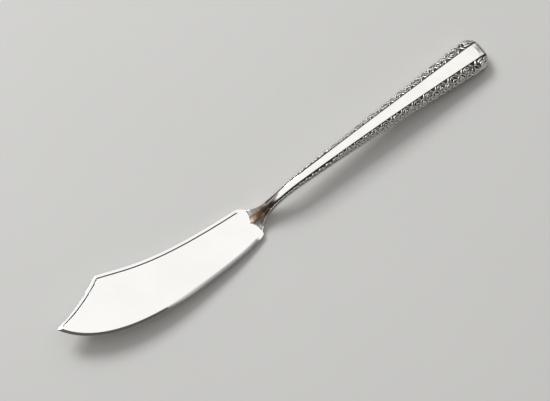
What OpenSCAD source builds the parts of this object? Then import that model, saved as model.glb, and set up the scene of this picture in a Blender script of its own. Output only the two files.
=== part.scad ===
// Master butter knife with a hollow silver handle and a steel blade.
// Millimetres. X runs from the blade to the butt, Y points to the spine of the blade, Z is up.
// The knife lies as it does on a table: on the underside of the butt and on the mouth of the handle.
// Nothing moves. The handle is two struck half shells, soldered at their rims, round a cement core.

/* [Blade] */
// Level length of the blade, from the handle's mouth to the tip
blade_len = 75.5; // [68:0.5:82]
// Distance from the handle's axis out to the lowest point of the cutting edge
edge_drop = 8.7; // [7.8:0.1:10]
// Distance from the handle's axis out to the corner between spine and clipped end
clip_lift = 15.6; // [14:0.1:17]
// Distance from the handle's axis out to the tip
tip_lift = 8; // [6.5:0.1:9.5]
// Distance from the handle's axis out to the spine at the root
spine_root = 6.5; // [6:0.1:7.2]
// Distance from the handle's axis out to the heel at the root
heel_root = 6.9; // [6.2:0.1:7.5]
// Thickness of the blade at the root of the spine
root_thick = 1.6; // [1.3:0.05:1.7]
// Thickness that the blade loses from the root to the tip
tip_loss = 0.7; // [0.3:0.05:0.8]
// Thickness that the blade loses from the spine to the cutting edge
edge_loss = 0.25; // [0:0.05:0.3]
// Thickness of the blunt rim that runs round the blade
rim_thick = 0.5; // [0.3:0.05:0.6]
// Width of the bevel between that rim and the flat of the blade
bevel_w = 1; // [0.5:0.1:1.2]
// Height of the tip above the root of the blade
tip_rise = 8; // [4:0.25:10]

/* [Handle] */
// Level length of the handle, from its mouth to the butt
handle_len = 100; // [92:1:110]
// Width of the handle at the neck
neck_w = 3.6; // [3.5:0.1:4.4]
// Width of the handle before the rounded butt
butt_w = 12.2; // [10:0.1:13.5]
// Width of the mouth, where the handle flares out over the blade
mouth_w = 9.2; // [8:0.1:10]
// Length of the flare, from the mouth to the neck
flare_len = 10; // [8:0.5:12]
// Thickness of the handle at the mouth
mouth_thick = 2.9; // [2.8:0.05:3.4]
// Thickness of the handle at the neck
neck_thick = 4.6; // [4.3:0.1:5.4]
// Thickness of the handle before the butt
butt_thick = 7.2; // [6.4:0.1:8.4]
// Height of the neck's middle above the middle of the blade root
neck_rise = 7.1; // [5:0.1:8]
// Length over which the handle climbs from the mouth to its highest point
climb_len = 20; // [18:0.5:24]
// Length of the rounding at the butt
butt_round = 4.5; // [3.5:0.1:5.5]
// Length of the pointed tooth in the middle of the mouth
tooth_len = 1.4; // [0.6:0.1:1.8]
// Depth of the worn flat on which the butt rests
rest_cut = 0.35; // [0.2:0.05:0.45]

/* [Panel] */
// Width of the plain raised panel at the neck
panel_neck_w = 1.55; // [1.4:0.05:2]
// Width of the plain raised panel at the butt
panel_butt_w = 5.15; // [4.5:0.05:5.5]
// Height of the panel above the ornament strips beside it
panel_step = 0.35; // [0.2:0.05:0.4]

/* [Shells and core] */
// Wall of the struck half shells
wall = 0.55; // [0.5:0.05:0.6]
// Thickness of the solder between the rims of the shells
seam_thick = 0.16; // [0.1:0.02:0.2]
// Gap on each side of a solder layer
solder_gap = 0.04; // [0.03:0.01:0.05]
// Length of the tang inside the handle
tang_len = 52; // [40:1:60]
// Width of the tang along the handle
tang_w = 1.5; // [1.2:0.1:1.6]
// Thickness of the tang along the handle
tang_thick = 1.3; // [1:0.1:1.4]
// Distance from the mouth to the near end of the cement core
core_start = 30; // [28:1:36]
// Gap round the cement core
core_gap = 0.3; // [0.25:0.05:0.35]

/* [Hidden] */
// The mouth lies at x = 0 while the pieces are drawn, and the blade ends just short of it
blade_gap = 0.15;
root_x = -blade_gap;
mouth_half = mouth_thick / 2;
mouth_clear = 0.02;
root_z = mouth_half + mouth_clear;
top_z = root_z + neck_rise;
panel_end = handle_len - butt_round * 0.8;
butt_z = butt_thick / 2 - rest_cut;
blade_slope = tip_rise / blade_len;

// Fullness of the curves: 2 is an ellipse, and more is squarer
plan_round = 2.5;
side_round = 2.8;
strip_round = 1.9;
flare_power = 4;
taper_curve = 0.35;
panel_curve = 0.5;

// Share of the climb at the neck that rises straight, before it levels off
climb_straight = 0.35;

// Sides of the shells stand upright over this share of their thickness, at the mouth and at the butt
mouth_side = 0.66;
butt_side = 0.3;

// The panel's share of the handle's width at most, the slope of its edge in plan, and the tooth's reach
panel_share = 0.6;
panel_edge = 0.15;
tooth_share = 0.3;
tooth_reach = 0.6;

// Fineness of the shells: places along the handle, and steps from the panel to the rim
stations = 40;
strip_steps = 6;
line_points = 2 * strip_steps + 6;
flare_stations = 0.3;
butt_stations = 0.28;
end_share = 0.985;

// Room round the tang where it enters the mouth, its blunt point, and its sleeve of solder
tang_side_gap = 0.3;
tang_face_gap = 0.18;
tang_tip_len = 3;
tang_in_blade = 2.5;
sleeve_start = 0.9;
sleeve_len = 2.5;

// Colours
silver = [0.80, 0.80, 0.78];
steel = [0.86, 0.86, 0.86];
solder_grey = [0.62, 0.61, 0.58];
cement = [0.55, 0.50, 0.42];

// A value held between 0 and 1
function held(s) = min(max(s, 0), 1);

// A smooth change from 0 to 1
function smooth(s) = let(c = held(s)) c * c * (3 - 2 * c);

// A climb from 0 to 1: straight over its first part, then levelling off gently
function levelling(u) = u - 2 * pow(u, 3) / 3 + pow(u, 5) / 5;
function climb(s) =
    let(straight = min(s, climb_straight))
    let(rest = max(s - climb_straight, 0) / (1 - climb_straight))
    (straight + (1 - climb_straight) * levelling(rest))
    / (climb_straight + (1 - climb_straight) * levelling(1));

// One quarter of a superellipse: 1 at the start, 0 at the end
function bulge(v, n) = pow(1 - pow(held(v), n), 1 / n);

// Height of the middle of the blade, a straight slope up to the tip
function blade_z(x) = root_z - blade_slope * (x - root_x);

// Height of the middle of the handle: a climb at the neck, then a long arch down to the butt
function arch_z(x) = top_z - (top_z - butt_z) * pow((x - climb_len) / (panel_end - climb_len), 2);
function middle_z(x) =
    x < root_x ? blade_z(x)
    : x < climb_len ? root_z + neck_rise * climb((x - root_x) / (climb_len - root_x))
    : arch_z(x);

// Share of the butt's rounding that is reached at x, on a surface that lies inset below the outside
function round_share(x, inset) =
    min(max((x - handle_len + butt_round) / (butt_round - inset), 0), end_share);

// What is left of the flare at x, from 1 at the mouth to 0 at the neck
function flare_left(x) = max(1 - x / flare_len, 0);

// Half the width of the handle in plan
function half_w(x, inset) =
    let(s = held((x - flare_len) / (handle_len - butt_round - flare_len)))
    let(taper = (butt_w - neck_w) / 2 * ((1 - taper_curve) * s + taper_curve * s * s))
    let(flare = (mouth_w - neck_w) / 2 * pow(flare_left(x), flare_power))
    (neck_w / 2 + taper + flare - inset) * bulge(round_share(x, inset), plan_round);

// Half the thickness of the handle
function half_t(x, inset) =
    let(neck = mouth_half + (neck_thick / 2 - mouth_half) * smooth(x / (0.6 * climb_len)))
    let(grow = (butt_thick - neck_thick) / 2 * held((x - climb_len) / (panel_end - climb_len)))
    (neck + grow - inset) * bulge(round_share(x, inset), side_round);

// Half the width of the panel, wider again where it runs out into the flare
function half_panel(x) =
    let(s = held(x / panel_end))
    let(taper = (panel_butt_w - panel_neck_w) * ((1 - panel_curve) * s + panel_curve * s * s))
    (panel_neck_w + taper) / 2 * (1 + 0.5 * pow(flare_left(x), 2));

// Height of a shell's upright side
function side_t(x) =
    half_t(x, 0) * (butt_side + (mouth_side - butt_side) * (1 - smooth(x / climb_len)));

// How far the pointed tooth pulls the mouth out over the blade
function tooth(x, y) =
    tooth_len * pow(max(1 - abs(y) / (tooth_share * mouth_w), 0), 1.6)
    * max(1 - x / (tooth_reach * flare_len), 0);

// One point of a shell: k runs from the rim (0) over the strip to the panel's edge
function shell_point(x, k, hand, inset, up) =
    let(w = half_w(x, inset))
    let(t = half_t(x, inset))
    let(p = min(half_panel(x) - 0.4 * inset, panel_share * w))
    let(foot = min(p + panel_edge, 0.75 * w))
    let(step = min(panel_step * smooth((x + 2 - 8 * inset) / 8), 0.3 * t))
    let(side = min(side_t(x), t - step))
    let(v = cos(90 * (k - 1) / strip_steps))
    let(top = k == strip_steps + 2)
    let(y = k == 0 ? w : top ? p : foot + (w - foot) * v)
    let(rim = seam_thick / 2 + solder_gap)
    let(z = k == 0 ? rim : top ? t : side + (t - step - side) * bulge(v, strip_round))
    let(out = x - tooth(x, y))
    [out, hand * y, middle_z(out) + up * z];

// One line of points across a shell, from rim to rim
function shell_line(x, inset, up) = [
    for (j = [0 : line_points - 1])
        let(near = j < line_points / 2)
        shell_point(x, near ? j : line_points - 1 - j, near ? 1 : -1, inset, up)
];

// Places along the handle: close together at the flare and at the butt
function station_x(i, inset) =
    let(s = i / (stations - 1))
    let(body_end = 1 - butt_stations)
    let(body_len = handle_len - inset - butt_round - flare_len)
    s < flare_stations ? flare_len * s / flare_stations
    : s < body_end ? flare_len + body_len * (s - flare_stations) / (body_end - flare_stations)
    : handle_len - inset - butt_round * (1 - end_share * sin(90 * (s - body_end) / butt_stations));

// Faces of a closed skin over m rings of n points, which turn to the left as seen from the last ring
function skin_faces(n, m) = concat(
    [for (i = [0 : m - 2], j = [0 : n - 1]) [i * n + j, (i + 1) * n + j, i * n + (j + 1) % n]],
    [for (i = [0 : m - 2], j = [0 : n - 1])
        [i * n + (j + 1) % n, (i + 1) * n + j, (i + 1) * n + (j + 1) % n]],
    [[for (j = [0 : n - 1]) j]],
    [[for (j = [0 : n - 1]) m * n - 1 - j]]
);

// A closed skin over a list of rings
module skin(rings) {
    polyhedron(
        points = [for (ring = rings) for (p = ring) p],
        faces = skin_faces(len(rings[0]), len(rings)),
        convexity = 6
    );
}

// A four-cornered ring round the middle of the handle
function box_ring(x, w, t) =
    let(z = middle_z(x))
    [[x, w, z - t], [x, w, z + t], [x, -w, z + t], [x, -w, z - t]];

// A curve with two handles, without its last point; the third value of a point is its share of bevel
function curve(a, b, c, d, from, to, n) = [
    for (i = [0 : n - 1])
        let(t = i / n)
        let(u = 1 - t)
        let(p = u * u * u * a + 3 * u * u * t * b + 3 * u * t * t * c + t * t * t * d)
        [p[0], p[1], from + (to - from) * t]
];

// A curve with one handle
function corner(a, b, c, from, to, n) = curve(a, (a + 2 * b) / 3, (c + 2 * b) / 3, c, from, to, n);

// A place on the blade: share of the way to the tip, and distance from the axis
function on_blade(share, y) = [root_x - share * blade_len, y];

// Key places on the blade's outline
lift = clip_lift - spine_root;
fall = clip_lift - tip_lift;
shoulder_start = on_blade(0, mouth_w / 2 - 0.2);
spine_start = on_blade(0.05, spine_root + 0.08);
clip_start = on_blade(0.716, clip_lift - 0.01 * lift);
clip_end = on_blade(0.734, clip_lift - 0.03 * fall);
tip_start = on_blade(0.9945, tip_lift + 0.33);
tip_end = on_blade(0.9945, tip_lift - 0.8);
belly = on_blade(0.376, -edge_drop);
heel_start = on_blade(0.026, -heel_root + 0.2);
heel_end = on_blade(0, -mouth_w / 2 - 0.2);

// The blade's outline: shoulder, spine, clipped end, tip, cutting edge and heel
blade_outline = concat(
    corner(shoulder_start, on_blade(0.026, spine_root + 0.25), spine_start, 0.1, 0.5, 5),
    curve(spine_start, on_blade(0.486, spine_root + 0.156 * lift),
        on_blade(0.577, spine_root + 0.613 * lift), clip_start, 0.5, 1, 14),
    corner(clip_start, on_blade(0.725, clip_lift + 0.2), clip_end, 1, 1, 4),
    corner(clip_end, on_blade(0.857, tip_lift + 0.245 * fall), tip_start, 1, 0.4, 10),
    corner(tip_start, on_blade(1.0065, tip_lift + 0.05), tip_end, 0.4, 0.4, 3),
    curve(tip_end, on_blade(0.874, -1.03 * edge_drop), on_blade(0.499, -edge_drop), belly, 0.4, 1, 18),
    curve(belly, on_blade(0.247, -edge_drop), on_blade(0.113, -0.95 * edge_drop),
        heel_start, 1, 0.4, 10),
    corner(heel_start, on_blade(-0.002, -heel_root + 0.5), heel_end, 0.4, 0.1, 5),
    [[heel_end[0], heel_end[1], 0.1]]
);
outline_x = [for (p = blade_outline) p[0]];
outline_y = [for (p = blade_outline) p[1]];

// The flat of the blade lies inside the outline by its share of the bevel's width
function flat_point(i) =
    let(n = len(blade_outline))
    let(a = blade_outline[(i + n - 1) % n])
    let(p = blade_outline[i])
    let(b = blade_outline[(i + 1) % n])
    let(along = [b[0] - a[0], b[1] - a[1]])
    let(bevel = bevel_w * p[2] / norm(along))
    [p[0] - along[1] * bevel, p[1] + along[0] * bevel];

// Half the thickness of the flat of the blade, thinner to the tip and to the cutting edge
function blade_half(p) =
    let(to_tip = (root_x - p[0]) / blade_len)
    let(to_edge = (spine_root - p[1]) / (spine_root + edge_drop))
    (root_thick - tip_loss * to_tip - edge_loss * to_edge) / 2;

// The outline of the flat, and of the rim, on one face of the blade
function flat_ring(up) = [
    for (i = [0 : len(blade_outline) - 1])
        let(p = flat_point(i))
        [p[0], p[1], blade_z(p[0]) + up * blade_half(p)]
];
function rim_ring(up) = [for (p = blade_outline) [p[0], p[1], blade_z(p[0]) + up * rim_thick / 2]];

// The tang: it fills the mouth at the root and is slim along the handle
function tang_half_w(x) =
    let(root = half_w(max(x, 0), wall) - tang_side_gap)
    root + (tang_w / 2 - root) * smooth(x / (1.2 * flare_len));
function tang_half_t(x) =
    let(root = mouth_half - wall - tang_face_gap)
    root + (tang_thick / 2 - root) * smooth(x / climb_len);
tang_places = concat(
    [-tang_in_blade, -tang_in_blade / 2, root_x],
    [for (i = [1 : 16]) climb_len * i / 16],
    [climb_len + 5, tang_len - 2 * tang_tip_len, tang_len - tang_tip_len, tang_len]
);

// The tang with a gap round it; its end is drawn in to a blunt point
module tang(gap) {
    skin([for (x = tang_places)
        let(share = x < tang_len ? 1 : 0.6)
        box_ring(x < tang_len ? x : x + gap, tang_half_w(x) * share + gap, tang_half_t(x) * share + gap)]);
}

// An oval ring of the cement core, inside the shells
function core_ring(x) =
    let(w = half_w(x, wall) - core_gap)
    let(t = half_t(x, wall) - panel_step - core_gap)
    [for (turn = [0 : 22.5 : 337.5]) [x, w * cos(turn), middle_z(x) + t * sin(turn)]];
core_round = handle_len - butt_round - 1;
core_end = handle_len - wall - core_gap - 1.2;
core_places = concat(
    [for (i = [0 : 9]) core_start + (core_round - core_start) * i / 9],
    [for (i = [1 : 4]) core_round + (core_end - core_round) * i / 4]
);

// The whole part is moved so that its origin is the middle of its footprint
butt_end = station_x(stations - 1, 0);
centre = [(min(outline_x) + butt_end) / 2, (min(outline_y) + max(outline_y)) / 2, 0];

// One half shell, a sheet with an outer and an inner face; up is 1 for the front and -1 for the back
module half_shell(up) {
    m = line_points;
    outside = [for (i = [0 : stations - 1]) shell_line(station_x(i, 0), 0, up)];
    inside = [for (i = [0 : stations - 1]) shell_line(station_x(i, wall), wall, up)];
    under = stations * m;
    last = (stations - 1) * m;
    outer_faces = [for (i = [0 : stations - 2], j = [0 : m - 2], half = [0, 1])
        let(q = i * m + j)
        half == 0 ? [q, q + 1, q + m] : [q + 1, q + m + 1, q + m]];
    inner_faces = [for (f = outer_faces) [under + f[0], under + f[2], under + f[1]]];
    spine_rim = [for (i = [0 : stations - 2], half = [0, 1])
        let(q = i * m)
        half == 0 ? [q, q + m, under + q] : [q + m, under + q + m, under + q]];
    edge_rim = [for (i = [0 : stations - 2], half = [0, 1])
        let(q = i * m + m - 1)
        half == 0 ? [q, under + q, q + m] : [q + m, under + q, under + q + m]];
    mouth_faces = [for (j = [0 : m - 2], half = [0, 1])
        half == 0 ? [j, under + j, j + 1] : [j + 1, under + j, under + j + 1]];
    end_faces = [
        [for (j = [0 : m - 1]) last + j],
        [for (j = [0 : m - 1]) under + last + m - 1 - j],
        [last, last + m - 1, under + last + m - 1, under + last]
    ];
    faces = concat(outer_faces, inner_faces, spine_rim, edge_rim, mouth_faces, end_faces);
    turned = [for (f = faces) [for (k = [len(f) - 1 : -1 : 0]) f[k]]];
    polyhedron(
        points = [for (line = concat(outside, inside)) for (p = line) p],
        faces = up < 0 ? faces : turned,
        convexity = 8
    );
}

// Front half of the handle, with the plain panel between its strips
module front_shell() {
    color(silver) translate(-centre) half_shell(1);
}

// Back half of the handle, worn flat where the butt rests on the table
module back_shell() {
    color(silver) translate(-centre)
        difference() {
            half_shell(-1);
            translate([handle_len / 2, -butt_w, -butt_thick]) cube([handle_len, 2 * butt_w, butt_thick]);
        }
}

// Solder between the rims of the two shells, down one side, round the butt and back
module seam_solder() {
    path = concat(
        [for (i = [0 : stations - 1]) [i, 1]],
        [for (i = [stations - 1 : -1 : 0]) [i, -1]]
    );
    half = [0, 0, seam_thick / 2];
    rings = [for (s = path)
        let(a = shell_point(station_x(s[0], 0), 0, s[1], 0, 0))
        let(b = shell_point(station_x(s[0], wall), 0, s[1], wall, 0))
        [a - half, a + half, b + half, b - half]];
    color(solder_grey) translate(-centre) skin(rings);
}

// Steel blade with its shoulders and the tang that runs into the handle
module blade() {
    color(steel) translate(-centre) {
        skin([flat_ring(-1), rim_ring(-1), rim_ring(1), flat_ring(1)]);
        tang(0);
    }
}

// Solder sleeve that holds the root of the tang in the mouth
module mouth_solder() {
    color(solder_grey) translate(-centre)
        difference() {
            skin([for (i = [0 : 5])
                let(x = sleeve_start + sleeve_len * i / 5)
                box_ring(x, half_w(x, wall) - 2 * solder_gap, mouth_half - wall - solder_gap)]);
            tang(solder_gap);
        }
}

// Cement core that fills the hollow handle round the tang
module cement_core() {
    color(cement) translate(-centre)
        difference() {
            skin([for (x = core_places) core_ring(x)]);
            tang(core_gap);
        }
}

blade();
front_shell();
back_shell();
seam_solder();
mouth_solder();
cement_core();
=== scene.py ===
"""A master butter knife: a polished blade in a hollow handle of two silver halves,
with a plain panel between two chased vine borders on each face."""

import math

import bmesh
import bpy
from mathutils import Matrix, Vector


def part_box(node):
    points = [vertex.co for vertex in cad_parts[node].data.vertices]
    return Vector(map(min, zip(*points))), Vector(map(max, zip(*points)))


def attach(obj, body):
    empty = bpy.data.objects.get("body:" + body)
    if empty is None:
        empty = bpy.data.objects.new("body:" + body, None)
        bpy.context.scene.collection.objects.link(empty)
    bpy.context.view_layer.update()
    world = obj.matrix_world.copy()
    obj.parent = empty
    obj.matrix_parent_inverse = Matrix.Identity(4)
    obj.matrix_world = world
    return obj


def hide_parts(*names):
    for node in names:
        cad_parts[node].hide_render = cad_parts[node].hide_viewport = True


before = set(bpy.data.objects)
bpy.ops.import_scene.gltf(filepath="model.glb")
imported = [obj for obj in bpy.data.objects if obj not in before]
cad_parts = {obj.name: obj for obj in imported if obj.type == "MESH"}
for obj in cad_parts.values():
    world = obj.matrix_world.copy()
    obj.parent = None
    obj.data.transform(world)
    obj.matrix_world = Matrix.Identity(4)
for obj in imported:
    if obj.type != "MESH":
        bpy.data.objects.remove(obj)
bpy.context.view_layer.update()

MM = 0.001

# The mouth of the handle and the handle's own middle line, from the solids.
mouth_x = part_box("seam_solder")[0][0] / MM
axis_y = (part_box("front_shell")[0][1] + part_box("front_shell")[1][1]) / 2 / MM

# Sizes are in millimetres: x along the handle from its mouth, y across it from its middle
# line. A share is a part of another size. Points closer than a hair count as touching.
hair = 0.01

# The blade
blade_len = 75.5
blade_root = -0.15
root_height = 1.47
tip_rise = 8
edge_drop = 8.7
clip_lift = 15.6
tip_lift = 8
tip_round = 0.25
spine_root = 6.5
heel_root = 6.9
half_blade = 0.6
half_groove = 0.4
groove_side = 0.22
line_inset = 0.9
line_start = 3
line_end = blade_len - 2.8
face_rise = 0.04
face_lean = math.radians(0.08)
clip_start = 0.74 * blade_len
clip_shift = 0.45
clip_out = (-0.35, 0.94)
edge_start = 1
edge_slope = 0.48
bevel_extra = 0.3
narrow_start = 32
narrow_len = 10
bevel_slope = 0.375
heel_steepening = 0.035
tip_steepening = 0.23
tip_steep_start = 34
steepening_len = 24
rim_wear = 0.04

# The handle
handle_len = 100
mouth_w = 9.2
neck_w = 3.6
butt_w = 12.2
mouth_thick = 2.9
neck_thick = 4.6
butt_thick = 7.2
flare_len = 10
flare_power = 4
taper_straight = 0.65
neck_len = flare_len - 2
neck_rise = 7.1
climb_len = 20
climb_straight = 0.35
butt_height = 3.25
butt_round = 4.5
butt_plan_power = 2.5
butt_side_power = 2.8
butt_limit = 0.985
wall = 0.5
tooth_len = 1.9
tooth_drop = 0.5
tooth_reach = 3.6

# The panel along each face, with a facet past its end
panel_neck_w = 1.55
panel_butt_w = 5.15
panel_flare = 0.5
panel_most = 0.6
panel_camber = 0.02
panel_shoulder = 0.8
panel_end = handle_len - 0.8 * butt_round
panel_stop = 96.9
corner_shifts = ((0, 0.4), (panel_shoulder, -0.35), (1, -1.25))
end_fall = 0.165
end_side_fall = 0.05
end_side_len = 1.3
shoulder_fall = 0.6
lip_drop = 0.5
lip_len = 0.8
neck_swell = 0.12
neck_swell_x = 8.2
neck_swell_len = 1.8
chamfer_start = 5
chamfer_stop = 10
chamfer_drop = 0.2
chamfer_side = 0.7
crease_start = 3
crease_stop = 99
side_crease = 0.8
end_crease = 0.7

# The borders beside the panel, and the sides below them
border_gap = 0.13
border_most = 0.75
border_step = 0.35
step_start = -2
step_len = 8
sink_start = 4
sink_len = 6
border_least = 1.05
border_power = 1.9
border_shares = (0.93, 0.72, 0.38)
border_start = 5
border_stop = 99.4
side_share = 0.3
neck_side_share = 0.36
side_upright = 0.8

# The vine. Its bends and scrolls are shares of the band, the length across a border.
vine_height = 0.3
vine_start = 6
vine_stop = 92.5
vine_gap = 0.35
vine_most = 0.8
bend_step = 0.74
stem_swing = 0.25
bowl_shift = 0.14
scroll_steps = 14
scroll_start = 0.5
scroll_turn = 1.75
scroll_reach = 0.40
scroll_winding = 0.07
least_scroll_band = 2.2
seek_height = 20
seek_inwards = 0.98
motif_sink = 0.05
wire_lift = 0.05
wire_half = 0.1
wire_least = 0.2
wire_growth = 0.45
wire_relief = 0.6


def clamp(share):
    return min(max(share, 0), 1)


def smooth(share):
    """From 0 to 1 with a soft start and a soft end."""
    share = clamp(share)
    return share * share * (3 - 2 * share)


def bulge(share, power):
    """From 1 down to 0 over a round, which a higher power makes squarer."""
    return (1 - clamp(share) ** power) ** (1 / power)


def place(x, y, z):
    """A point in metres, x from the mouth and y from the handle's middle line."""
    return Vector((mouth_x + x, axis_y + y, z)) * MM


def climb(share):
    """From 0 to 1: straight over the first part, then levelling off gently."""
    rest = max(share - climb_straight, 0) / (1 - climb_straight)
    level = rest - 2 * rest ** 3 / 3 + rest ** 5 / 5
    risen = min(share, climb_straight) + (1 - climb_straight) * level
    return risen / (climb_straight + (1 - climb_straight) * 8 / 15)


def middle(x):
    """Height of the seam between the halves: up the neck, then down an arch to the butt."""
    if x < climb_len:
        return root_height + neck_rise * climb(clamp((x - blade_root) / (climb_len - blade_root)))
    top = root_height + neck_rise
    return top - (top - butt_height) * ((x - climb_len) / (panel_end - climb_len)) ** 2


def butt_share(x):
    """How far round the butt, stopping just short of its point."""
    return min(max((x - handle_len + butt_round) / butt_round, 0), butt_limit)


def flare_left(x):
    return max(1 - x / flare_len, 0)


def half_width(x):
    share = clamp((x - flare_len) / (handle_len - butt_round - flare_len))
    widening = taper_straight * share + (1 - taper_straight) * share ** 2
    taper = (butt_w - neck_w) / 2 * widening
    flare = (mouth_w - neck_w) / 2 * flare_left(x) ** flare_power
    return (neck_w / 2 + taper + flare) * bulge(butt_share(x), butt_plan_power)


def half_thick(x):
    neck = (neck_thick - mouth_thick) / 2 * smooth(x / neck_len)
    swell = (butt_thick - neck_thick) / 2 * clamp((x - climb_len) / (panel_end - climb_len))
    return (mouth_thick / 2 + neck + swell) * bulge(butt_share(x), butt_side_power)


def half_panel(x):
    share = clamp(x / panel_end)
    width = panel_neck_w + (panel_butt_w - panel_neck_w) * (share + share ** 2) / 2
    return min(width / 2 * (1 + panel_flare * flare_left(x) ** 2), panel_most * half_width(x))


def panel_top(x):
    """Height of the panel above the seam; past its round end a facet falls away to the butt."""
    facet = end_fall * max(x - panel_stop, 0)
    lip = lip_drop * max((x - handle_len) / lip_len + 1, 0) ** 2
    swell = neck_swell * math.exp(-((x - neck_swell_x) / neck_swell_len) ** 2)
    return half_thick(min(x, panel_stop)) + swell - facet - lip


def border_foot(x):
    return min(half_panel(x) + border_gap, border_most * half_width(x))


def border_rim(x):
    """Where the sunk ground of a border ends, short of the side by the height of the vine."""
    return half_width(x) - vine_height * smooth((x - sink_start) / sink_len)


def side_height(x):
    """Height of the plain side above the seam, more at the neck than at the butt."""
    return half_thick(x) * (side_share + neck_side_share * (1 - smooth(x / climb_len)))


def border_top(x):
    step = border_step * smooth((x - step_start) / step_len)
    return max(panel_top(x) - step, border_least * side_height(x))


def border_band(x):
    """Length across a border from the panel to the side, over its round."""
    return math.pi / 4 * (half_width(x) - border_foot(x) + border_top(x) - side_height(x))


def half_section(x):
    """Width and height of the nine pairs of points from the seam up to the panel's middle."""
    wide, foot, panel = half_width(x), border_foot(x), half_panel(x)
    fall = end_side_fall * clamp((x - panel_stop) / end_side_len)
    side, crown = side_height(x), panel_top(x)
    top = max(border_top(x) - fall, border_least * side)
    section = [(wide, 0), (wide, side * side_upright)]
    for share in border_shares:
        across = foot + (border_rim(x) - foot) * share
        section.append((across, side + (top - side) * bulge(share, border_power)))
    return section + [
        (foot, top),
        (panel, crown - panel_camber - fall),
        (panel * panel_shoulder, crown - panel_camber / 2 - shoulder_fall * fall),
        (0, crown),
    ]


# Hand work in edit mode


def start(piece_name):
    """Names the primitive that was just added and puts its place into its mesh."""
    piece = bpy.context.object
    piece.name = piece_name
    piece.data.name = piece_name
    bpy.ops.object.transform_apply(location=True, rotation=True, scale=True)
    bpy.ops.object.mode_set(mode="EDIT")
    bpy.context.tool_settings.mesh_select_mode = (True, False, False)
    bpy.ops.mesh.select_all(action="SELECT")
    return piece


def pick(piece, kind, test):
    """Selects only the points, edges or faces that pass the test, and gives their numbers."""
    mesh = bmesh.from_edit_mesh(piece.data)
    mesh.select_mode = {kind}
    bpy.context.tool_settings.mesh_select_mode = (kind == "VERT", kind == "EDGE", kind == "FACE")
    for row in (mesh.verts, mesh.edges, mesh.faces):
        for item in row:
            item.select = False
    row = {"VERT": mesh.verts, "EDGE": mesh.edges, "FACE": mesh.faces}[kind]
    row.index_update()
    chosen = [item for item in row if test(item)]
    for item in chosen:
        item.select_set(True)
    mesh.select_flush_mode()
    bmesh.update_edit_mesh(piece.data)
    return [item.index for item in chosen]


def picked_points(piece):
    return [v for v in bmesh.from_edit_mesh(piece.data).verts if v.select]


def extrude(step):
    bpy.ops.mesh.extrude_region_move(TRANSFORM_OT_translate={"value": step})


def paint_picked(piece, number):
    """Gives the selected faces another of the piece's finishes."""
    piece.active_material_index = number
    bpy.ops.object.material_slot_assign()


def only(piece):
    """Leaves one piece selected and active."""
    bpy.ops.object.select_all(action="DESELECT")
    piece.select_set(True)
    bpy.context.view_layer.objects.active = piece


def finish_with(piece, kind, **settings):
    """Adds a modifier to a piece and applies it."""
    bpy.context.view_layer.objects.active = piece
    bpy.ops.object.modifier_add(type=kind)
    added = piece.modifiers[-1]
    for name, value in settings.items():
        setattr(added, name, value)
    bpy.ops.object.modifier_apply(modifier=added.name)


def leave(piece, crease):
    """Back to object mode, shaded smooth except at edges sharper than crease."""
    bpy.ops.object.mode_set(mode="OBJECT")
    only(piece)
    bpy.ops.object.shade_smooth_by_angle(angle=math.radians(crease))


def wear_flat():
    """Cuts away what lies below the table."""
    bpy.ops.mesh.bisect(
        plane_co=(0, 0, 0), plane_no=(0, 0, 1), use_fill=True, clear_inner=True, threshold=1e-7
    )


# Finishes


class Finish:
    """One socket of a material, on which sums can be written."""

    def __init__(self, tree, socket=None):
        self.tree = tree
        self.socket = socket

    def node(self, kind, settings=None, values=None, out=0):
        new = self.tree.nodes.new(kind)
        for name, value in (settings or {}).items():
            setattr(new, name, value)
        for name, value in (values or {}).items():
            if isinstance(value, Finish):
                self.tree.links.new(value.socket, new.inputs[name])
            else:
                new.inputs[name].default_value = value
        return Finish(self.tree, new.outputs[out])

    def sum(self, operation, first, second=0.0):
        return self.node("ShaderNodeMath", {"operation": operation}, {0: first, 1: second})

    def __add__(self, other):
        return self.sum("ADD", self, other)

    __radd__ = __add__

    def __mul__(self, other):
        return self.sum("MULTIPLY", self, other)

    __rmul__ = __mul__

    def __sub__(self, other):
        return self.sum("SUBTRACT", self, other)

    def __rsub__(self, other):
        return self.sum("SUBTRACT", other, self)

    def __abs__(self):
        return self.sum("ABSOLUTE", self)

    def ease(self, low, high):
        """0 below low, 1 above high, soft between."""
        return self.node(
            "ShaderNodeMapRange",
            {"interpolation_type": "SMOOTHSTEP"},
            {"Value": self, "From Min": low, "From Max": high},
        )

    def near(self, centre, reach, core):
        """1 round a centre, out to the core's share of the reach, and 0 past the reach."""
        return 1 - abs((self - centre) * (1 / reach)).ease(core, 1.0)

    def blend(self, first, second):
        """The first colour where this is 0 and the second where it is 1."""
        return self.node(
            "ShaderNodeMix", {"data_type": "RGBA"}, {0: self, 6: first, 7: second}, 2
        )

    def mottle(self, first, second):
        """Soft patches of two colours, from a noise."""
        return self.ease(0.3, 0.7).blend(first, second)

    def noise(self, where, scale, detail=3.0, roughness=0.55):
        return self.node(
            "ShaderNodeTexNoise",
            None,
            {"Vector": where, "Scale": scale, "Detail": detail, "Roughness": roughness},
        )

    def stretched(self, where, scale):
        return self.node("ShaderNodeMapping", None, {"Vector": where, "Scale": scale})

    def bump(self, height, strength, depth=0.00002):
        return self.node(
            "ShaderNodeBump", None, {"Height": height, "Strength": strength, "Distance": depth}
        )


def new_finish(name):
    """A new material with its surface, a pen to draw its nodes, and the place on the piece."""
    finish = bpy.data.materials.new(name)
    finish.use_nodes = True
    surface = finish.node_tree.nodes["Principled BSDF"]
    pen = Finish(finish.node_tree)
    where = pen.node("ShaderNodeTexCoord", out="Object")
    return finish, surface, pen, where


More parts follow.
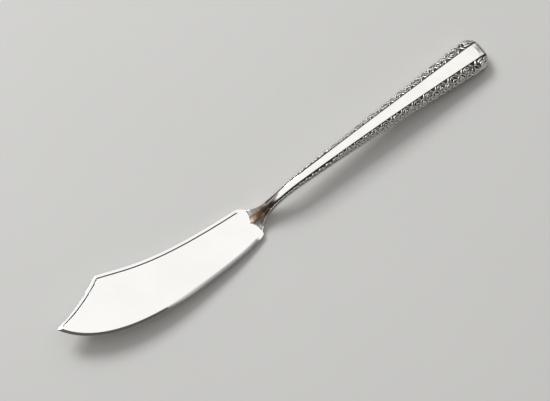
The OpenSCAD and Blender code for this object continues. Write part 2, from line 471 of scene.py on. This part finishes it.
def feed(surface, **values):
    """Feeds the surface's sockets: numbers and colours are set, the rest is linked."""
    for name, value in values.items():
        socket = surface.inputs[name.replace("_", " ")]
        if isinstance(value, Finish):
            value.tree.links.new(value.socket, socket)
        else:
            socket.default_value = value


def polished_silver():
    """Bright handle silver: hairline scratches, faint clouding, and a warm brown at the neck,
    which fades on the chamfer; painted shade makes it almost black in the hollow beside it."""
    finish, surface, pen, where = new_finish("polished_silver")
    cloud = pen.noise(where, 140.0)
    scratches = pen.noise(pen.stretched(where, (180.0, 5200.0, 5200.0)), 1.0, 2.0)
    patches = pen.noise(where, 420.0, 4.0).ease(0.25, 0.6)
    x = pen.node("ShaderNodeSeparateXYZ", None, {"Vector": where}, "X")
    y = pen.node("ShaderNodeSeparateXYZ", None, {"Vector": where}, "Y")
    aside = y - axis_y * MM
    brown_x, brown_reach = (mouth_x + 3) * MM, 7 * MM
    hollow_x, hollow_reach = (mouth_x + 5.6) * MM, 3 * MM
    rubbed_x, rubbed_len = (mouth_x + 4.5) * MM, 2 * MM

    in_middle = 1 - abs(aside).ease(0.9 * MM, 1.9 * MM)
    # A warm brown over the middle of the neck, in patches, and faint at its sides.
    browning = x.near(brown_x, brown_reach, 0.45) * (0.15 + in_middle * 0.85) * patches
    # Less brown beside the middle from the chamfer on.
    rubbed = (x - rubbed_x).ease(0, rubbed_len) * aside.ease(0.15 * MM, 0.45 * MM)
    browning = browning * (1 - rubbed * 0.85)
    # Painted shade: the hollow beside the chamfer is darkened almost to black, a little more where
    # the neck is brown.
    hollow_shade = x.near(hollow_x, hollow_reach, 0.4) * (1 - aside.ease(0.1 * MM, 0.4 * MM))
    hollow_shade = hollow_shade * (0.6 + browning * 0.4)

    bright = cloud.ease(0.3, 0.75).blend((0.95, 0.94, 0.915, 1), (0.90, 0.885, 0.85, 1))
    brown = cloud.ease(0.35, 0.65).blend((0.50, 0.27, 0.13, 1), (0.74, 0.43, 0.21, 1))
    shade_black = (0.14, 0.11, 0.08, 1)
    feed(
        surface,
        Base_Color=hollow_shade.blend(browning.blend(bright, brown), shade_black),
        Metallic=1.0,
        Roughness=0.07 + cloud * 0.05 + scratches.ease(0.55, 0.75) * 0.06 + browning * 0.12,
        Normal=pen.bump(scratches, 0.10),
    )
    return finish


def border_ground():
    """The sunk ground of the borders: matted, and darkened so that the vine stands out."""
    finish, surface, pen, where = new_finish("border_ground")
    matting = pen.node(
        "ShaderNodeTexVoronoi", {"feature": "F1"}, {"Vector": where, "Scale": 3600.0}
    )
    cloud = pen.noise(where, 260.0)
    feed(
        surface,
        Base_Color=cloud.mottle((0.028, 0.025, 0.022, 1), (0.08, 0.072, 0.064, 1)),
        Metallic=0.6,
        Roughness=0.36 + cloud * 0.2,
        Normal=pen.bump(matting, 0.5, 0.00006),
    )
    return finish


def chased_silver():
    """The vine: rubbed bright on top, dark where polish never reaches."""
    finish, surface, pen, where = new_finish("chased_silver")
    height = pen.node("ShaderNodeAttribute", {"attribute_name": "relief"}, None, "Fac")
    cloud = pen.noise(where, 700.0)
    rubbed = (height + (cloud - 0.5) * 0.35).ease(0.15, 0.68)
    bright = cloud.blend((0.74, 0.73, 0.70, 1), (0.60, 0.575, 0.54, 1))
    feed(
        surface,
        Base_Color=rubbed.blend((0.07, 0.058, 0.05, 1), bright),
        Metallic=1.0,
        Roughness=0.50 - rubbed * 0.15,
        Normal=pen.bump(cloud, 0.25, 0.00004),
    )
    return finish


def polished_steel():
    """The blade: mirror polish with fine lengthwise wipe marks."""
    finish, surface, pen, where = new_finish("polished_steel")
    wipes = pen.noise(pen.stretched(where, (90.0, 3600.0, 3600.0)), 1.0)
    cloud = pen.noise(where, 60.0)
    feed(
        surface,
        Base_Color=cloud.mottle((0.95, 0.948, 0.935, 1), (0.915, 0.91, 0.895, 1)),
        Metallic=1.0,
        Roughness=0.09 + cloud * 0.05 + wipes.ease(0.55, 0.8) * 0.05,
        Normal=pen.bump(wipes, 0.08),
    )
    return finish


def groove_shade():
    """Painted shade: the line along the spine is coloured dark, as its groove would look in shade.
    """
    finish, surface, pen, where = new_finish("groove_shade")
    cloud = pen.noise(where, 500.0)
    feed(
        surface,
        Base_Color=cloud.mottle((0.06, 0.05, 0.042, 1), (0.15, 0.13, 0.11, 1)),
        Metallic=0.8,
        Roughness=0.35 + cloud * 0.2,
    )
    return finish


def solder_line():
    """Silver solder at the seams, a little greyer than the silver."""
    finish, surface, pen, where = new_finish("solder_line")
    cloud = pen.noise(where, 900.0, 4.0)
    feed(
        surface,
        Base_Color=cloud.mottle((0.62, 0.59, 0.54, 1), (0.42, 0.38, 0.33, 1)),
        Metallic=1.0,
        Roughness=0.25 + cloud * 0.25,
        Normal=pen.bump(cloud, 0.3, 0.00004),
    )
    return finish


def set_cement():
    """The cement that holds the tang."""
    finish, surface, pen, where = new_finish("set_cement")
    grit = pen.noise(where, 1400.0, 5.0)
    feed(
        surface,
        Base_Color=grit.mottle((0.30, 0.23, 0.17, 1), (0.47, 0.39, 0.30, 1)),
        Roughness=0.75 + grit * 0.2,
        Normal=pen.bump(grit, 0.6, 0.0001),
    )
    return finish


def pale_table():
    """A plain pale table with a fine grain."""
    finish, surface, pen, where = new_finish("pale_table")
    cloud = pen.noise(where, 6.0, 4.0)
    grain = pen.noise(where, 900.0, 2.0)
    feed(
        surface,
        Base_Color=cloud.blend((0.56, 0.56, 0.55, 1), (0.60, 0.60, 0.59, 1)),
        Roughness=0.75 + grain * 0.2,
        Specular_IOR_Level=0.2,
        Normal=pen.bump(grain, 0.15, 0.00005),
    )
    return finish


silver = polished_silver()
ground = border_ground()
vine_silver = chased_silver()
steel = polished_steel()
dark_line = groove_shade()


# The handle. Its front half has up 1, and its back half up -1.

ring_points = 32
stations = [0, 0.7, 1.6, 2.8, 4.2, 5.8, 7.6, 9.6, 12, 14.8, 18, 22, 27, 33, 39, 45, 51, 57, 63,
            69, 75, 81, 86, 90, 93, 95.2, panel_stop, 98.2, 99.1, 99.65, 99.93]


def from_mouth(spot, up):
    """Where a point of a half is: along from the mouth, across from the middle line, and out
    from the seam."""
    spot = spot / MM
    x = spot.x - mouth_x
    return x, spot.y - axis_y, (spot.z - middle(x)) * up


def pull_ring(piece, centre, section):
    """Pulls the selected half ring to the widths and heights of a section."""
    ring = picked_points(piece)
    ring.sort(key=lambda v: math.atan2(abs(v.co.z - centre.z), v.co.y - centre.y))
    ring = [(v.index, abs(v.co.y - centre.y), abs(v.co.z - centre.z)) for v in ring]
    for (wide, high), left, right in zip(section, ring, ring[::-1]):
        pair = {left[0], right[0]}
        pick(piece, "VERT", lambda v: v.index in pair)
        y_share = wide * MM / left[1] if left[1] > 1e-7 else 1
        z_share = high * MM / left[2] if left[2] > 1e-7 else 1
        bpy.ops.transform.resize(value=(1, y_share, z_share), center_override=centre)
    numbers = {row[0] for row in ring}
    pick(piece, "VERT", lambda v: v.index in numbers)


def draw_half(name, up):
    """A half ring, drawn along the arch from the mouth to the butt and closed there."""
    bpy.ops.object.select_all(action="DESELECT")
    centre = place(stations[0], 0, middle(stations[0]))
    bpy.ops.mesh.primitive_circle_add(
        vertices=ring_points, radius=MM, location=centre, rotation=(0, math.pi / 2, 0)
    )
    half = start(name)
    pick(half, "VERT", lambda v: up * (v.co.z - centre.z) < -hair * MM)
    bpy.ops.mesh.delete(type="VERT")
    bpy.ops.mesh.select_all(action="SELECT")
    pull_ring(half, centre, half_section(stations[0]))
    for before, x in zip(stations, stations[1:]):
        centre = place(x, 0, middle(x))
        extrude(centre - place(before, 0, middle(before)))
        pull_ring(half, centre, half_section(x))
    bpy.ops.mesh.edge_face_add()
    return half


def pull_tooth(half, up):
    """Draws the middle of the mouth out to a point over the blade."""
    tooth = place(0, 0, middle(0) + up * half_section(0)[-1][1])
    pick(half, "VERT", lambda v: (v.co - tooth).length < hair * MM)
    bpy.ops.transform.translate(
        value=(-tooth_len * MM, 0, -tooth_drop * up * MM), use_proportional_edit=True,
        proportional_edit_falloff="SHARP", proportional_size=tooth_reach * MM,
    )
    bpy.ops.transform.vert_crease(value=1)


def face_outwards(half, up):
    bpy.ops.mesh.select_all(action="SELECT")
    bpy.ops.mesh.normals_make_consistent(inside=False)
    faces = bmesh.from_edit_mesh(half.data).faces
    if sum(f.normal.z * f.calc_area() for f in faces) * up < 0:
        bpy.ops.mesh.flip_normals()


def darken_borders(half, up):
    """Silver all over, and the borders' own dark ground beside the panel; taken up the step wall
    to the panel's edge, the dark is painted shade.
    """

    def in_border(face):
        x, y, out = from_mouth(face.calc_center_median(), up)
        # The step wall between panel and border is taken in too: painted shade along the panel's
        # edge.
        beside_panel = abs(y) > half_panel(x) + 3 * hair
        return border_start < x < border_stop and beside_panel and out > 0.9 * side_height(x)

    half.data.materials.append(silver)
    half.data.materials.append(ground)
    pick(half, "FACE", in_border)
    paint_picked(half, 1)


def on_panel_end(v, up):
    x, y, out = from_mouth(v.co, up)
    return abs(x - panel_stop) < hair and abs(y) < half_panel(x) + hair and out > 0


def crease_panel(half, up):
    """Keeps the panel's long sides and its end crisp."""

    def along_panel(edge):
        first, last = (v.co for v in edge.verts)
        step = (last - first) / MM
        x, y, out = from_mouth((first + last) / 2, up)
        by_the_step = half_panel(x) - 5 * hair < abs(y) < border_foot(x) + 5 * hair
        lengthwise = abs(step.x) > 2 * abs(step.y)
        return crease_start < x < crease_stop and by_the_step and lengthwise

    pick(half, "EDGE", along_panel)
    bpy.ops.transform.edge_crease(value=side_crease)
    pick(half, "EDGE", lambda e: all(on_panel_end(v, up) for v in e.verts))
    bpy.ops.transform.edge_crease(value=end_crease)


def lower_chamfer(half, up):
    """Lowers the panel's spine side where it leaves the neck."""

    def on_chamfer(v):
        x, y, out = from_mouth(v.co, up)
        on_side = chamfer_side * half_panel(x) < y < half_panel(x) + 2 * hair
        return chamfer_start < x < chamfer_stop and on_side and out > 0.5 * panel_top(x)

    pick(half, "VERT", on_chamfer)
    bpy.ops.transform.translate(value=(0, 0, -chamfer_drop * up * MM))


def round_panel_end(half, up):
    """Shifts the panel's end along the arch, its middle out and its corners in."""
    arch_fall = (middle(panel_stop - 1) - middle(panel_stop + 1)) / 2
    rows = [
        (pick(half, "VERT", lambda v: on_panel_end(v, up) and abs(
            abs(v.co.y / MM - axis_y) - share * half_panel(panel_stop)) < 2 * hair), shift)
        for share, shift in corner_shifts
    ]
    for numbers, shift in rows:
        pick(half, "VERT", lambda v: v.index in numbers)
        bpy.ops.transform.translate(value=(shift * MM, 0, -arch_fall * shift * MM))


def handle_half(name, up):
    """One half of the handle, struck from sheet and worn flat where it rests on the table."""
    half = draw_half(name, up)
    pull_tooth(half, up)
    face_outwards(half, up)
    darken_borders(half, up)
    crease_panel(half, up)
    lower_chamfer(half, up)
    round_panel_end(half, up)
    bpy.ops.object.mode_set(mode="OBJECT")
    finish_with(half, "SUBSURF", levels=2, render_levels=2)
    finish_with(half, "SOLIDIFY", thickness=wall * MM, offset=-1)
    bpy.ops.object.mode_set(mode="EDIT")
    bpy.ops.mesh.select_all(action="SELECT")
    wear_flat()
    leave(half, crease=50)
    return half


front = handle_half("silver_front", 1)
back = handle_half("silver_back", -1)
for half, node in ((front, "front_shell"), (back, "back_shell")):
    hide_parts(node)
    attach(half, "root")


# The vine. A border is a half, its up, and side 1 by the spine or -1 by the edge. Across a
# border runs from 0 by the panel to 1 at the side.


def with_relief(piece, heights):
    """Keeps the height of each point of a piece of the vine for its finish."""
    relief = piece.data.attributes.new("relief", "FLOAT", "POINT")
    relief.data.foreach_set("value", heights)
    piece.data.materials.append(vine_silver)


def disc(name, points):
    bpy.ops.object.select_all(action="DESELECT")
    bpy.ops.mesh.primitive_circle_add(vertices=points, radius=MM, fill_type="NGON")
    return start(name)


def keep_motif(motif):
    """Ends a motif, which is copied onto the borders later."""
    bpy.ops.object.mode_set(mode="OBJECT")
    heights = [v.co.z for v in motif.data.vertices]
    with_relief(motif, [z / max(heights) for z in heights])
    bpy.ops.object.shade_smooth()
    motif.hide_render = True
    return motif


def make_rosette():
    """A flower of five petals round a boss."""
    motif = disc("rosette", 15)
    pick(motif, "VERT", lambda v: v.index % 3 == 0)
    bpy.ops.transform.resize(value=(0.7, 0.7, 1), center_override=(0, 0, 0))
    bpy.ops.mesh.select_all(action="SELECT")
    extrude((0, 0, 0.32 * MM))
    bpy.ops.mesh.inset(thickness=0.2 * MM, depth=0.2 * MM)
    bpy.ops.mesh.inset(thickness=0.2 * MM, depth=-0.22 * MM)
    bpy.ops.mesh.inset(thickness=0.1 * MM, depth=0.26 * MM)
    return keep_motif(motif)


def make_leaf():
    """A pointed leaf with a sunk vein."""
    motif = disc("leaf", 10)
    bpy.ops.transform.resize(value=(1, 0.46, 1), center_override=(0, 0, 0))
    pick(motif, "VERT", lambda v: v.co.x > 0.9 * MM)
    bpy.ops.transform.translate(value=(0.4 * MM, 0, 0))
    bpy.ops.mesh.select_all(action="SELECT")
    extrude((0, 0, 0.22 * MM))
    bpy.ops.mesh.inset(thickness=0.16 * MM, depth=0.2 * MM)
    bpy.ops.mesh.select_all(action="SELECT")
    bpy.ops.mesh.bisect(plane_co=(0, 0, 0), plane_no=(0, 1, 0))
    pick(motif, "VERT", lambda v: v.co.z > 0.3 * MM and abs(v.co.y) < 2 * hair * MM)
    bpy.ops.transform.translate(value=(0, 0, -0.2 * MM))
    return keep_motif(motif)


def make_berry():
    """A small round boss."""
    motif = disc("berry", 8)
    extrude((0, 0, 0.45 * MM))
    bpy.ops.mesh.inset(thickness=0.45 * MM, depth=0.4 * MM)
    return keep_motif(motif)


rosette = make_rosette()
leaf = make_leaf()
berry = make_berry()

# Leaves that fan out over the butt: x, across, size and turn in half turns.
palmette = ((95.5, 0.12, 1.1, -0.08), (96.1, 0.34, 1.25, -0.02), (96.1, 0.57, 1.25, 0.06),
            (95.5, 0.8, 1.15, 0.14), (94.5, 0.97, 1.0, 0.2), (97.7, 0.16, 0.8, -0.05),
            (98.2, 0.4, 0.85, 0.04), (97.9, 0.64, 0.8, 0.14), (97.0, 0.9, 0.8, 0.24),
            (98.9, 0.22, 0.5, 0.0), (99.0, 0.55, 0.45, 0.12))


def across_border(x, across):
    """Distance from the middle line of a place across a border."""
    foot = min(border_foot(x) + vine_gap, vine_most * half_width(x))
    return foot + (border_rim(x) - foot) * math.sin(clamp(across) * math.pi / 2)


def seat_on(half, up, x, y):
    """The place and the outward direction on the surface of a half, sought from well above;
    what lies just beside the half comes to its side."""
    found = False
    while not found:
        above = place(x, y, middle(x) + up * seek_height)
        found, spot, normal, face = half.ray_cast(above, Vector((0, 0, -up)))
        y *= seek_inwards
    return spot, normal


def lay(motif, border, x, across, size, turn=0.0, flat=1.0):
    """A copy of a motif on a border; turn 0 points to the butt, and a quarter to the side."""
    half, up, side = border
    spot, normal = seat_on(half, up, x, side * across_border(x, across))
    along = Vector((1, 0, 0))
    along = (along - normal * along.dot(normal)).normalized()
    outward = normal.cross(along)
    seat = Matrix((along, outward, normal)).transposed().to_4x4()
    copy = motif.copy()
    copy.data = motif.data.copy()
    copy.hide_render = False
    bpy.context.collection.objects.link(copy)
    copy.matrix_world = (
        Matrix.Translation(spot - normal * motif_sink * MM) @ seat
        @ Matrix.Rotation(turn * side * up, 4, "Z") @ Matrix.Diagonal((size, size, size * flat, 1))
    )
    return copy


def lay_wire(border, path):
    """A thin round wire on a border, along a path of places x and y."""
    half, up, side = border
    drawn = bpy.data.curves.new("wire", "CURVE")
    drawn.dimensions = "3D"
    drawn.bevel_depth = wire_half * MM
    drawn.bevel_resolution = 1
    drawn.use_fill_caps = True
    line = drawn.splines.new("POLY")
    line.points.add(len(path) - 1)
    for knot, (x, y) in zip(line.points, path):
        spot, normal = seat_on(half, up, x, side * y)
        knot.co = (*(spot + normal * wire_lift * MM), 1)
        knot.radius = wire_least + wire_growth * border_band(x)
    wire = bpy.data.objects.new("wire", drawn)
    bpy.context.collection.objects.link(wire)
    only(wire)
    bpy.ops.object.convert(target="MESH")
    wire = bpy.context.object
    with_relief(wire, [wire_relief] * len(wire.data.vertices))
    return wire


def bowl(sway):
    """Across a border, the middle of the bowl that a bend of the stem leaves free."""
    return 0.5 - bowl_shift * sway


def stem_path(bends):
    """The main stem, which swings from bend to bend."""
    path = []
    for (x, sway), (next_x, next_sway) in zip(bends, bends[1:]):
        for share in (0, 0.25, 0.5, 0.75):
            swing = (1 - math.cos(share * math.pi)) / 2
            along = x + (next_x - x) * share
            across = 0.5 + stem_swing * (sway + (next_sway - sway) * swing)
            path.append((along, across_border(along, across)))
    return path


def scroll_path(x, sway, band):
    """A shoot that leaves the stem at a bend and curls round the middle of its bowl."""
    path = []
    for step in range(scroll_steps + 1):
        share = step / scroll_steps
        turn = sway * math.pi * (scroll_start - scroll_turn * share)
        reach = scroll_reach - scroll_winding * share
        along = x + reach * band * math.cos(turn)
        path.append((along, across_border(along, bowl(sway) + reach * math.sin(turn))))
    return path


def fill_bowl(border, number, x, sway, band):
    """A flower, three leaves or three berries inside a scroll, by turns."""
    if number % 3 == 0:
        return [lay(rosette, border, x, bowl(sway), 0.28 * band, number, 0.6)]
    if number % 3 == 1:
        return [
            lay(leaf, border, x + 0.13 * band * math.cos(turn), bowl(sway) + 0.13 * math.sin(turn),
                0.16 * band, turn)
            for turn in (0.1 * math.pi, 0.77 * math.pi, 1.43 * math.pi)
        ]
    return [
        lay(berry, border, x + swing * band, bowl(sway) + lift, 0.12 * band)
        for swing, lift in ((-0.12, 0.06), (0.12, 0.06), (0, -0.12))
    ]


def join_vine(name, laid):
    """Wears flat what reaches below the table, and joins all that was laid to one piece."""
    bpy.context.view_layer.update()
    for motif in laid:
        if min((motif.matrix_world @ v.co).z for v in motif.data.vertices) < 0:
            only(motif)
            start(motif.name)
            wear_flat()
            bpy.ops.object.mode_set(mode="OBJECT")
    bpy.ops.object.select_all(action="DESELECT")
    for motif in laid:
        motif.select_set(True)
    bpy.context.view_layer.objects.active = laid[0]
    bpy.ops.object.join()
    vine = start(name)
    bpy.ops.mesh.remove_doubles(threshold=0.001 * MM)
    bpy.ops.mesh.normals_make_consistent(inside=False)
    bpy.ops.object.mode_set(mode="OBJECT")
    return vine


def lay_vine(name, border):
    """One border's vine: a running stem whose shoots curl round flowers, leaves and berries."""
    bends = [(vine_start, 1)]
    while bends[-1][0] < vine_stop:
        x, sway = bends[-1]
        bends.append((x + bend_step * border_band(x), -sway))
    laid = []
    paths = [stem_path(bends)]
    for number, (x, sway) in enumerate(bends):
        band = border_band(x)
        if band < least_scroll_band:
            laid.append(lay(leaf, border, x, 0.45 - 0.2 * sway, 0.34 * band, -0.2 * sway))
            continue
        paths.append(scroll_path(x, sway, band))
        laid += fill_bowl(border, number, x, sway, band)
        for swing, turn in ((-0.22, 0.7), (0.22, 0.3)):
            laid.append(lay(leaf, border, x + swing * band, 0.5 + 0.38 * sway, 0.21 * band,
                            sway * turn * math.pi))
    for x, across, size, turn in palmette:
        laid.append(lay(leaf, border, x, across, size, turn * math.pi, 0.6))
    laid += [lay_wire(border, path) for path in paths]
    return join_vine(name, laid)


vines = [
    lay_vine("front_vine_spine", (front, 1, 1)),
    lay_vine("front_vine_edge", (front, 1, -1)),
    lay_vine("back_vine_spine", (back, -1, 1)),
    lay_vine("back_vine_edge", (back, -1, -1)),
]
for vine in vines:
    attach(vine, "root")
for motif in (rosette, leaf, berry):
    bpy.data.objects.remove(motif)


# The blade. It is made lying flat and tilted at the end.

root = place(blade_root, 0, root_height)
tilt = math.atan(tip_rise / blade_len)


def bow(points, count):
    """Points along a curve that bends towards its inner points, without its first."""
    order = len(points) - 1
    steps = [k / count for k in range(1, count + 1)]
    return [
        tuple(
            sum(
                math.comb(order, k) * (1 - s) ** (order - k) * s ** k * point[axis]
                for k, point in enumerate(points)
            )
            for axis in (0, 1)
        )
        for s in steps
    ]


def blade_outline():
    """The blade seen from above, as share of its length and width from the middle line."""
    lift = clip_lift - spine_root
    fall = clip_lift - tip_lift
    low = 0.002 - edge_drop
    spine = (0.05, spine_root + 0.08)
    clip = (0.716, clip_lift - 0.01 * lift)
    clip_side = (0.734, clip_lift - 0.03 * fall)
    tip = (0.9985, tip_lift - 0.1)
    belly = (0.376, low)
    heel = (0.026, -heel_root + 0.2)
    rim = [(-0.016, 3.7), (0, 4.4)]
    rim += bow([(0, 4.4), (0.026, spine_root + 0.25), spine], 5)
    rim += bow([spine, (0.486, spine_root + 0.156 * lift),
                (0.577, spine_root + 0.613 * lift), clip], 16)
    rim += bow([clip, (0.725, clip_lift + 0.2), clip_side], 2)
    rim += bow([clip_side, (0.857, tip_lift + 0.245 * fall), tip], 10)
    rim += bow([tip, (0.874, -1.03 * edge_drop), (0.499, low), belly], 25)
    rim += bow([belly, (0.247, low), (0.113, -0.95 * edge_drop), heel], 14)
    rim += bow([heel, (-0.002, -heel_root + 0.5), (0, -4.8)], 2)
    rim.append((-0.016, -3.9))
    return rim


def from_root(spot):
    return (root.x - spot.x) / MM, (spot.y - root.y) / MM


def by_the_edge(spot):
    """Below the middle line, and towards the tip below a slanting line that ends there."""
    x, y = from_root(spot)
    return x > edge_start and y < max(tip_lift - edge_slope * (blade_len - x), 0)


def on_the_line(spot):
    return line_start < from_root(spot)[0] < line_end and not by_the_edge(spot)


def in_groove(v):
    return abs(abs(v.co.z - root.z) / MM - half_groove) < 2 * hair


def on_rim(v):
    """Whether an upright edge of the rim ends in this point."""
    return any(abs(e.verts[0].co.z - e.verts[1].co.z) > 0.8 * e.calc_length()
               for e in v.link_edges)


def draw_blade(rim):
    """The outline drawn point by point, filled and given its thickness."""
    bpy.ops.object.select_all(action="DESELECT")
    bpy.ops.mesh.primitive_plane_add(size=MM, location=rim[0])
    blade = start("bright_blade")
    bpy.ops.mesh.merge(type="CENTER")
    for before, spot in zip(rim, rim[1:]):
        extrude(spot - before)
    bpy.ops.mesh.select_all(action="SELECT")
    bpy.ops.mesh.edge_face_add()
    extrude((0, 0, 2 * half_blade * MM))
    bpy.ops.mesh.select_all(action="SELECT")
    bpy.ops.mesh.normals_make_consistent(inside=False)
    return blade


def cut_line(blade):
    """The dark line along the spine and the clipped end; elsewhere its groove is filled."""
    for facing in (1, -1):
        pick(blade, "FACE", lambda f: f.normal.z * facing > 0.9)
        bpy.ops.mesh.inset(thickness=line_inset * MM, depth=0)
        for depth in (half_groove - half_blade, half_blade + face_rise - half_groove):
            bpy.ops.mesh.inset(thickness=groove_side * MM, depth=depth * MM)
    blade.data.materials.append(steel)
    blade.data.materials.append(dark_line)
    # Painted shade: the groove along the spine and the clipped end takes the dark finish.
    pick(blade, "FACE", lambda f: any(in_groove(v) for v in f.verts)
         and on_the_line(f.calc_center_median()))
    paint_picked(blade, 1)
    pick(blade, "VERT", lambda v: in_groove(v) and not on_the_line(v.co))
    filled = (half_blade + face_rise / 2) / half_groove
    bpy.ops.transform.resize(value=(1, 1, filled), center_override=root)


def lean_faces(blade):
    """Turns the two faces a little towards each other."""
    for facing in (1, -1):
        pick(blade, "VERT", lambda v: (v.co.z - root.z) * facing > 0)
        bpy.ops.transform.rotate(
            value=face_lean * facing, orient_axis="Y", center_override=root
        )


def grind_edge(blade):
    """The bevel along the cutting edge: wide and slight by the heel, narrow and steep by the
    tip."""
    pick(blade, "VERT", lambda v: by_the_edge(v.co))
    belly = [(v.index, from_root(v.co)[0], on_rim(v)) for v in picked_points(blade)]
    for number, reach, outer in belly:
        pick(blade, "VERT", lambda v: v.index == number)
        wider = bevel_extra * (1 - smooth((reach - narrow_start) / narrow_len))
        steep = bevel_slope + heel_steepening * smooth(reach / steepening_len)
        steep += tip_steepening * smooth((reach - tip_steep_start) / steepening_len)
        if outer:
            thin = 1 - steep * (line_inset + wider) / half_blade
            bpy.ops.transform.resize(value=(1, 1, thin), center_override=root)
        else:
            bpy.ops.transform.translate(value=(0, wider * MM, 0))


def draw_line_out(blade):
    """Brings the line nearer to the clipped end, most at the tip."""
    pick(blade, "VERT", lambda v: not on_rim(v) and not by_the_edge(v.co)
         and from_root(v.co)[0] > clip_start)
    clipped = [(v.index, from_root(v.co)[0]) for v in picked_points(blade)]
    for number, reach in clipped:
        pick(blade, "VERT", lambda v: v.index == number)
        nearer = clip_shift * smooth((reach - clip_start) / (blade_len - clip_start))
        bpy.ops.transform.translate(
            value=(clip_out[0] * nearer * MM, clip_out[1] * nearer * MM, 0)
        )


def round_tip(blade, tip):
    pick(blade, "EDGE", lambda e: all((v.co.xy - tip.xy).length < hair * MM for v in e.verts))
    bpy.ops.mesh.bevel(offset=tip_round * MM, segments=3)


def make_blade():
    """The blade with its line, its ground edge and its rounded tip."""
    rim = [
        root + Vector((-share * blade_len / math.cos(tilt), y, -half_blade)) * MM
        for share, y in blade_outline()
    ]
    blade = draw_blade(rim)
    cut_line(blade)
    lean_faces(blade)
    grind_edge(blade)
    draw_line_out(blade)
    round_tip(blade, min(rim, key=lambda spot: spot.x))
    bpy.ops.mesh.select_all(action="SELECT")
    bpy.ops.transform.rotate(value=-tilt, orient_axis="Y", center_override=root)
    bpy.ops.mesh.normals_make_consistent(inside=False)
    bpy.ops.object.mode_set(mode="OBJECT")
    finish_with(blade, "BEVEL", width=rim_wear * MM, segments=2, limit_method="ANGLE",
                angle_limit=math.radians(18))
    leave(blade, crease=35)
    finish_with(blade, "WEIGHTED_NORMAL", keep_sharp=True)
    return blade


blade = make_blade()
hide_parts("blade")
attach(blade, "root")


# The solder and the cement keep the shapes of the solids.

solder = solder_line()
for node, finish in (("seam_solder", solder), ("mouth_solder", solder),
                     ("cement_core", set_cement())):
    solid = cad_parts[node]
    solid.data.materials.clear()
    solid.data.materials.append(finish)


# Table, light and camera, in metres

bpy.ops.object.select_all(action="DESELECT")
bpy.ops.mesh.primitive_plane_add(size=6, location=(0, 0, -0.00005))
table = bpy.context.object
table.name = "table"
table.data.materials.append(pale_table())

scene = bpy.context.scene
scene.view_settings.view_transform = "Standard"

world = bpy.data.worlds.new("studio")
scene.world = world
world.use_nodes = True
pen = Finish(world.node_tree)
direction = pen.node("ShaderNodeTexCoord", out="Generated")


def towards(axis):
    """1 where the light comes along the axis, less away from it."""
    return pen.node(
        "ShaderNodeVectorMath", {"operation": "DOT_PRODUCT"},
        {0: direction, 1: Vector(axis).normalized()}, "Value",
    )


# A bright tent hangs overhead, with a grey window in it. Below it the room is dark, and grey
# again near the table.
tent = towards((0.13, 0.30, 0.945)).ease(0.66, 0.78)
window = towards((-0.58, 0.59, 0.56)).ease(0.975, 0.99)
low_down = 1 - towards((0, 0, 1)).ease(0.26, 0.52)
room = low_down.blend((0.10, 0.09, 0.082, 1), (0.46, 0.45, 0.435, 1))
light = tent.blend(room, (1.0, 0.995, 0.985, 1))
light = window.blend(light, (0.30, 0.29, 0.27, 1))
world.node_tree.links.new(light.socket, world.node_tree.nodes["Background"].inputs["Color"])

look_at = place(10.22, 1.56, 0)
camera_turn = math.radians(38)
camera_height = math.radians(72)
camera_distance = 0.7
away = Vector((math.sin(camera_turn), math.cos(camera_turn), 0))
to_camera = -away * math.cos(camera_height) + Vector((0, 0, math.sin(camera_height)))
lens = bpy.data.cameras.new("camera")
lens.lens = 134.8
lens.sensor_width = 36
lens.clip_start = 0.01
camera = bpy.data.objects.new("camera", lens)
scene.collection.objects.link(camera)
camera.location = look_at + to_camera * camera_distance
camera.rotation_euler = (-to_camera).to_track_quat("-Z", "Y").to_euler()
scene.camera = camera

lamp = bpy.data.lights.new("overhead", "AREA")
lamp.size = 0.4
lamp.energy = 6
overhead = bpy.data.objects.new("overhead", lamp)
scene.collection.objects.link(overhead)
overhead.location = Vector((-0.05, 0.62, 0.78))
overhead.rotation_euler = overhead.location.to_track_quat("Z", "Y").to_euler()
